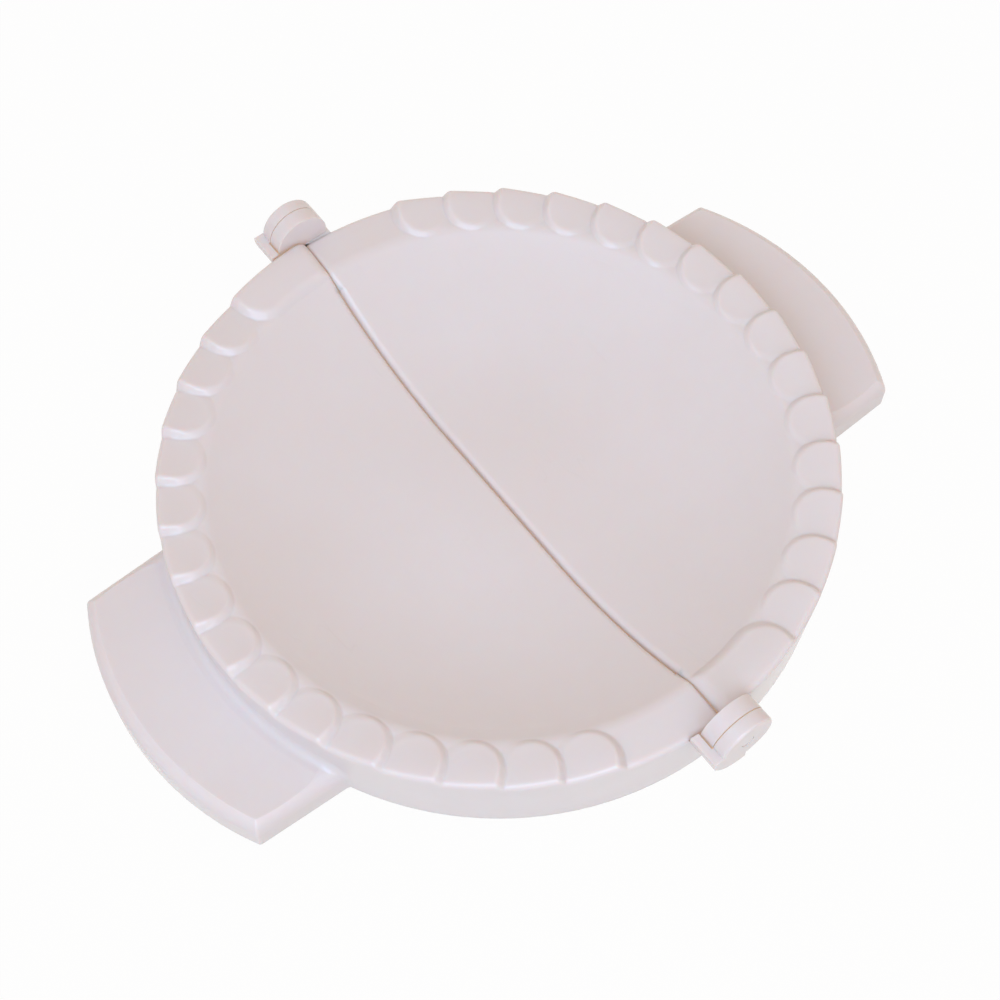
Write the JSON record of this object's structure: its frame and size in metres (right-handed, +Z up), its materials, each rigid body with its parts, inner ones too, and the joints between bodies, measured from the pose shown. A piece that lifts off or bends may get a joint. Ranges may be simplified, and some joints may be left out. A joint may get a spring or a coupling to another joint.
{
  "type": "empanada press",
  "caption": "Folding press for filled dough: two half-round bowls hinged along the diameter, each with a crimping rim of overlapping teeth and a grip tab.",
  "frame": {"origin": "on the table, under the middle of the hinge axis, at the centre of the round body, with the press open and flat", "axes": "+X along the hinge axis, +Y from the base half towards the folding half, +Z up"},
  "size_m": [0.1644, 0.193, 0.0281],
  "materials": {
    "moulded_plastic": "satin moulded polypropylene, off-white",
    "pin_plastic": "satin moulded nylon, off-white"
  },
  "bodies": {
    "base": {"base_half": "moulded_plastic", "hinge_pin_left": "pin_plastic", "hinge_pin_right": "pin_plastic"},
    "folding": {"folding_half": "moulded_plastic"}
  },
  "joints": [
    {"name": "fold", "type": "hinge", "parent": "base", "child": "folding", "pos_m": [0, 0, 0.0215], "axis": [1, 0, 0], "range_deg": [0, 180]}
  ]
}
